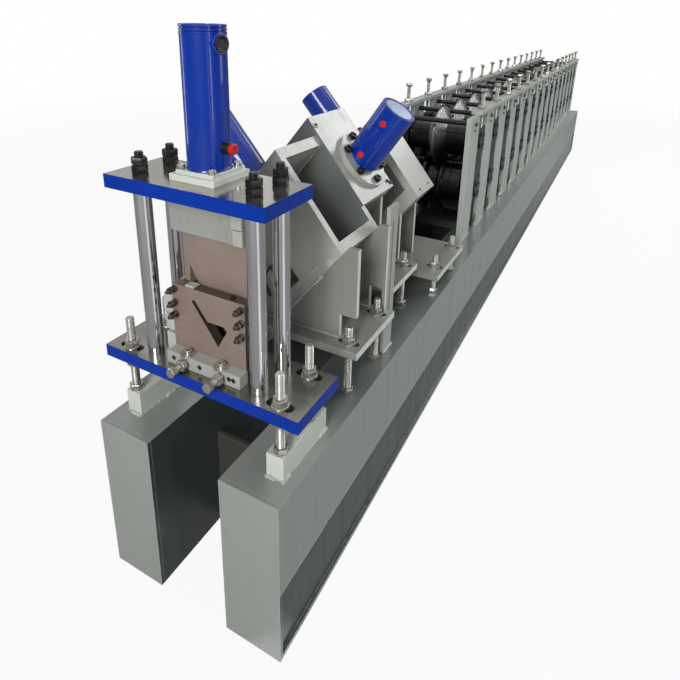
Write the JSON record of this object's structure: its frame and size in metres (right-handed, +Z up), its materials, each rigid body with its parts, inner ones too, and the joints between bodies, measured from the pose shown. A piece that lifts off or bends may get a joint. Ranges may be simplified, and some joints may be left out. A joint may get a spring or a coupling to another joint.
{
  "type": "roll forming machine",
  "caption": "Long grey roll forming machine on two box beams, with rows of V rolls, slanted blue presses and a blue cutter at the front.",
  "frame": {"origin": "on the floor, midway along the base on its centre line, under the middle cross plate", "axes": "+Y along the machine from the cutter to the strip entry, +X to the right seen from the cutter, +Z up"},
  "size_m": [0.6011, 5.96, 1.375],
  "materials": {
    "beam_paint": "satin grey-green paint",
    "black_steel": "blackened",
    "block_black": "dark machined",
    "blue_edge_plate": "ground top with blue painted edges",
    "blue_paint": "gloss blue paint",
    "chrome": "polished",
    "column_paint": "satin pale grey-green paint",
    "press_paint": "satin grey-green paint",
    "roll_steel": "turned bright",
    "tool_steel": "ground, faintly pink",
    "zinc": "bright plated"
  },
  "bodies": {
    "machine_frame": {"adjusting_bolts": "zinc", "base_beam_left": "beam_paint", "base_beam_right": "beam_paint", "beam_end_plates": "beam_paint", "bearing_blocks": "block_black", "column_tie_bars": "black_steel", "cross_plates": "beam_paint", "cutter_cylinder": "blue_paint", "cutter_guide_posts": "chrome", "cutter_lower_plate": "blue_edge_plate", "cutter_post_nuts": "black_steel", "cutter_support_bars": "beam_paint", "cutter_top_plate": "blue_edge_plate", "die_clamp_blocks": "press_paint", "die_front_plate": "tool_steel", "die_rear_plate": "tool_steel", "levelling_studs": "zinc", "press_base_plates": "press_paint", "press_cover_plate": "press_paint", "press_cylinder_1": "blue_paint", "press_cylinder_2": "blue_paint", "press_cylinder_3": "blue_paint", "press_frame_far": "press_paint", "press_frame_near": "press_paint", "press_stand_plates": "press_paint", "slotted_side_bars": "press_paint", "stand_caps": "column_paint", "stand_columns": "column_paint"},
    "cutter_ram": {"blade_holder": "press_paint", "cutter_blade": "tool_steel"},
    "lower_shaft_01": {"lower_roll_01": "roll_steel"},
    "upper_shaft_01": {"upper_roll_01": "roll_steel"},
    "lower_shaft_02": {"lower_roll_02": "roll_steel"},
    "upper_shaft_02": {"upper_roll_02": "roll_steel"},
    "lower_shaft_03": {"lower_roll_03": "roll_steel"},
    "upper_shaft_03": {"upper_roll_03": "roll_steel"},
    "lower_shaft_04": {"lower_roll_04": "roll_steel"},
    "upper_shaft_04": {"upper_roll_04": "roll_steel"},
    "lower_shaft_05": {"lower_roll_05": "roll_steel"},
    "upper_shaft_05": {"upper_roll_05": "roll_steel"},
    "lower_shaft_06": {"lower_roll_06": "roll_steel"},
    "upper_shaft_06": {"upper_roll_06": "roll_steel"},
    "lower_shaft_07": {"lower_roll_07": "roll_steel"},
    "upper_shaft_07": {"upper_roll_07": "roll_steel"},
    "lower_shaft_08": {"lower_roll_08": "roll_steel"},
    "upper_shaft_08": {"upper_roll_08": "roll_steel"},
    "lower_shaft_09": {"lower_roll_09": "roll_steel"},
    "upper_shaft_09": {"upper_roll_09": "roll_steel"},
    "lower_shaft_10": {"lower_roll_10": "roll_steel"},
    "upper_shaft_10": {"upper_roll_10": "roll_steel"},
    "lower_shaft_11": {"lower_roll_11": "roll_steel"},
    "upper_shaft_11": {"upper_roll_11": "roll_steel"},
    "lower_shaft_12": {"lower_roll_12": "roll_steel"},
    "upper_shaft_12": {"upper_roll_12": "roll_steel"},
    "lower_shaft_13": {"lower_roll_13": "roll_steel"},
    "upper_shaft_13": {"upper_roll_13": "roll_steel"},
    "lower_shaft_14": {"lower_roll_14": "roll_steel"},
    "upper_shaft_14": {"upper_roll_14": "roll_steel"},
    "lower_shaft_15": {"lower_roll_15": "roll_steel"},
    "upper_shaft_15": {"upper_roll_15": "roll_steel"}
  },
  "joints": [
    {"name": "cutter_stroke", "type": "slide", "parent": "machine_frame", "child": "cutter_ram", "axis": [0, 0, -1], "range_m": [0, 0.118]},
    {"name": "lower_turn_01", "type": "hinge", "parent": "machine_frame", "child": "lower_shaft_01", "pos_m": [0, -1.2365, 0.651], "axis": [1, 0, 0], "continuous": true},
    {"name": "upper_turn_01", "type": "hinge", "parent": "machine_frame", "child": "upper_shaft_01", "pos_m": [0, -1.2365, 0.88], "axis": [1, 0, 0], "continuous": true},
    {"name": "lower_turn_02", "type": "hinge", "parent": "machine_frame", "child": "lower_shaft_02", "pos_m": [0, -0.9575, 0.651], "axis": [1, 0, 0], "continuous": true},
    {"name": "upper_turn_02", "type": "hinge", "parent": "machine_frame", "child": "upper_shaft_02", "pos_m": [0, -0.9575, 0.88], "axis": [1, 0, 0], "continuous": true},
    {"name": "lower_turn_03", "type": "hinge", "parent": "machine_frame", "child": "lower_shaft_03", "pos_m": [0, -0.6785, 0.651], "axis": [1, 0, 0], "continuous": true},
    {"name": "upper_turn_03", "type": "hinge", "parent": "machine_frame", "child": "upper_shaft_03", "pos_m": [0, -0.6785, 0.88], "axis": [1, 0, 0], "continuous": true},
    {"name": "lower_turn_04", "type": "hinge", "parent": "machine_frame", "child": "lower_shaft_04", "pos_m": [0, -0.3995, 0.651], "axis": [1, 0, 0], "continuous": true},
    {"name": "upper_turn_04", "type": "hinge", "parent": "machine_frame", "child": "upper_shaft_04", "pos_m": [0, -0.3995, 0.88], "axis": [1, 0, 0], "continuous": true},
    {"name": "lower_turn_05", "type": "hinge", "parent": "machine_frame", "child": "lower_shaft_05", "pos_m": [0, -0.1205, 0.651], "axis": [1, 0, 0], "continuous": true},
    {"name": "upper_turn_05", "type": "hinge", "parent": "machine_frame", "child": "upper_shaft_05", "pos_m": [0, -0.1205, 0.88], "axis": [1, 0, 0], "continuous": true},
    {"name": "lower_turn_06", "type": "hinge", "parent": "machine_frame", "child": "lower_shaft_06", "pos_m": [0, 0.1585, 0.651], "axis": [1, 0, 0], "continuous": true},
    {"name": "upper_turn_06", "type": "hinge", "parent": "machine_frame", "child": "upper_shaft_06", "pos_m": [0, 0.1585, 0.88], "axis": [1, 0, 0], "continuous": true},
    {"name": "lower_turn_07", "type": "hinge", "parent": "machine_frame", "child": "lower_shaft_07", "pos_m": [0, 0.4375, 0.651], "axis": [1, 0, 0], "continuous": true},
    {"name": "upper_turn_07", "type": "hinge", "parent": "machine_frame", "child": "upper_shaft_07", "pos_m": [0, 0.4375, 0.88], "axis": [1, 0, 0], "continuous": true},
    {"name": "lower_turn_08", "type": "hinge", "parent": "machine_frame", "child": "lower_shaft_08", "pos_m": [0, 0.7165, 0.651], "axis": [1, 0, 0], "continuous": true},
    {"name": "upper_turn_08", "type": "hinge", "parent": "machine_frame", "child": "upper_shaft_08", "pos_m": [0, 0.7165, 0.88], "axis": [1, 0, 0], "continuous": true},
    {"name": "lower_turn_09", "type": "hinge", "parent": "machine_frame", "child": "lower_shaft_09", "pos_m": [0, 0.9955, 0.651], "axis": [1, 0, 0], "continuous": true},
    {"name": "upper_turn_09", "type": "hinge", "parent": "machine_frame", "child": "upper_shaft_09", "pos_m": [0, 0.9955, 0.88], "axis": [1, 0, 0], "continuous": true},
    {"name": "lower_turn_10", "type": "hinge", "parent": "machine_frame", "child": "lower_shaft_10", "pos_m": [0, 1.2745, 0.651], "axis": [1, 0, 0], "continuous": true},
    {"name": "upper_turn_10", "type": "hinge", "parent": "machine_frame", "child": "upper_shaft_10", "pos_m": [0, 1.2745, 0.88], "axis": [1, 0, 0], "continuous": true},
    {"name": "lower_turn_11", "type": "hinge", "parent": "machine_frame", "child": "lower_shaft_11", "pos_m": [0, 1.5535, 0.651], "axis": [1, 0, 0], "continuous": true},
    {"name": "upper_turn_11", "type": "hinge", "parent": "machine_frame", "child": "upper_shaft_11", "pos_m": [0, 1.5535, 0.88], "axis": [1, 0, 0], "continuous": true},
    {"name": "lower_turn_12", "type": "hinge", "parent": "machine_frame", "child": "lower_shaft_12", "pos_m": [0, 1.8325, 0.651], "axis": [1, 0, 0], "continuous": true},
    {"name": "upper_turn_12", "type": "hinge", "parent": "machine_frame", "child": "upper_shaft_12", "pos_m": [0, 1.8325, 0.88], "axis": [1, 0, 0], "continuous": true},
    {"name": "lower_turn_13", "type": "hinge", "parent": "machine_frame", "child": "lower_shaft_13", "pos_m": [0, 2.1115, 0.651], "axis": [1, 0, 0], "continuous": true},
    {"name": "upper_turn_13", "type": "hinge", "parent": "machine_frame", "child": "upper_shaft_13", "pos_m": [0, 2.1115, 0.88], "axis": [1, 0, 0], "continuous": true},
    {"name": "lower_turn_14", "type": "hinge", "parent": "machine_frame", "child": "lower_shaft_14", "pos_m": [0, 2.3905, 0.651], "axis": [1, 0, 0], "continuous": true},
    {"name": "upper_turn_14", "type": "hinge", "parent": "machine_frame", "child": "upper_shaft_14", "pos_m": [0, 2.3905, 0.88], "axis": [1, 0, 0], "continuous": true},
    {"name": "lower_turn_15", "type": "hinge", "parent": "machine_frame", "child": "lower_shaft_15", "pos_m": [0, 2.6695, 0.651], "axis": [1, 0, 0], "continuous": true},
    {"name": "upper_turn_15", "type": "hinge", "parent": "machine_frame", "child": "upper_shaft_15", "pos_m": [0, 2.6695, 0.88], "axis": [1, 0, 0], "continuous": true}
  ],
  "couplings": [
    {"joint": "upper_turn_01", "follows": "lower_turn_01", "ratio": -1},
    {"joint": "lower_turn_02", "follows": "lower_turn_01", "ratio": 1},
    {"joint": "upper_turn_02", "follows": "lower_turn_01", "ratio": -1},
    {"joint": "lower_turn_03", "follows": "lower_turn_01", "ratio": 1},
    {"joint": "upper_turn_03", "follows": "lower_turn_01", "ratio": -1},
    {"joint": "lower_turn_04", "follows": "lower_turn_01", "ratio": 1},
    {"joint": "upper_turn_04", "follows": "lower_turn_01", "ratio": -1},
    {"joint": "lower_turn_05", "follows": "lower_turn_01", "ratio": 1},
    {"joint": "upper_turn_05", "follows": "lower_turn_01", "ratio": -1},
    {"joint": "lower_turn_06", "follows": "lower_turn_01", "ratio": 1},
    {"joint": "upper_turn_06", "follows": "lower_turn_01", "ratio": -1},
    {"joint": "lower_turn_07", "follows": "lower_turn_01", "ratio": 1},
    {"joint": "upper_turn_07", "follows": "lower_turn_01", "ratio": -1},
    {"joint": "lower_turn_08", "follows": "lower_turn_01", "ratio": 1},
    {"joint": "upper_turn_08", "follows": "lower_turn_01", "ratio": -1},
    {"joint": "lower_turn_09", "follows": "lower_turn_01", "ratio": 1},
    {"joint": "upper_turn_09", "follows": "lower_turn_01", "ratio": -1},
    {"joint": "lower_turn_10", "follows": "lower_turn_01", "ratio": 1},
    {"joint": "upper_turn_10", "follows": "lower_turn_01", "ratio": -1},
    {"joint": "lower_turn_11", "follows": "lower_turn_01", "ratio": 1},
    {"joint": "upper_turn_11", "follows": "lower_turn_01", "ratio": -1},
    {"joint": "lower_turn_12", "follows": "lower_turn_01", "ratio": 1},
    {"joint": "upper_turn_12", "follows": "lower_turn_01", "ratio": -1},
    {"joint": "lower_turn_13", "follows": "lower_turn_01", "ratio": 1},
    {"joint": "upper_turn_13", "follows": "lower_turn_01", "ratio": -1},
    {"joint": "lower_turn_14", "follows": "lower_turn_01", "ratio": 1},
    {"joint": "upper_turn_14", "follows": "lower_turn_01", "ratio": -1},
    {"joint": "lower_turn_15", "follows": "lower_turn_01", "ratio": 1},
    {"joint": "upper_turn_15", "follows": "lower_turn_01", "ratio": -1}
  ]
}
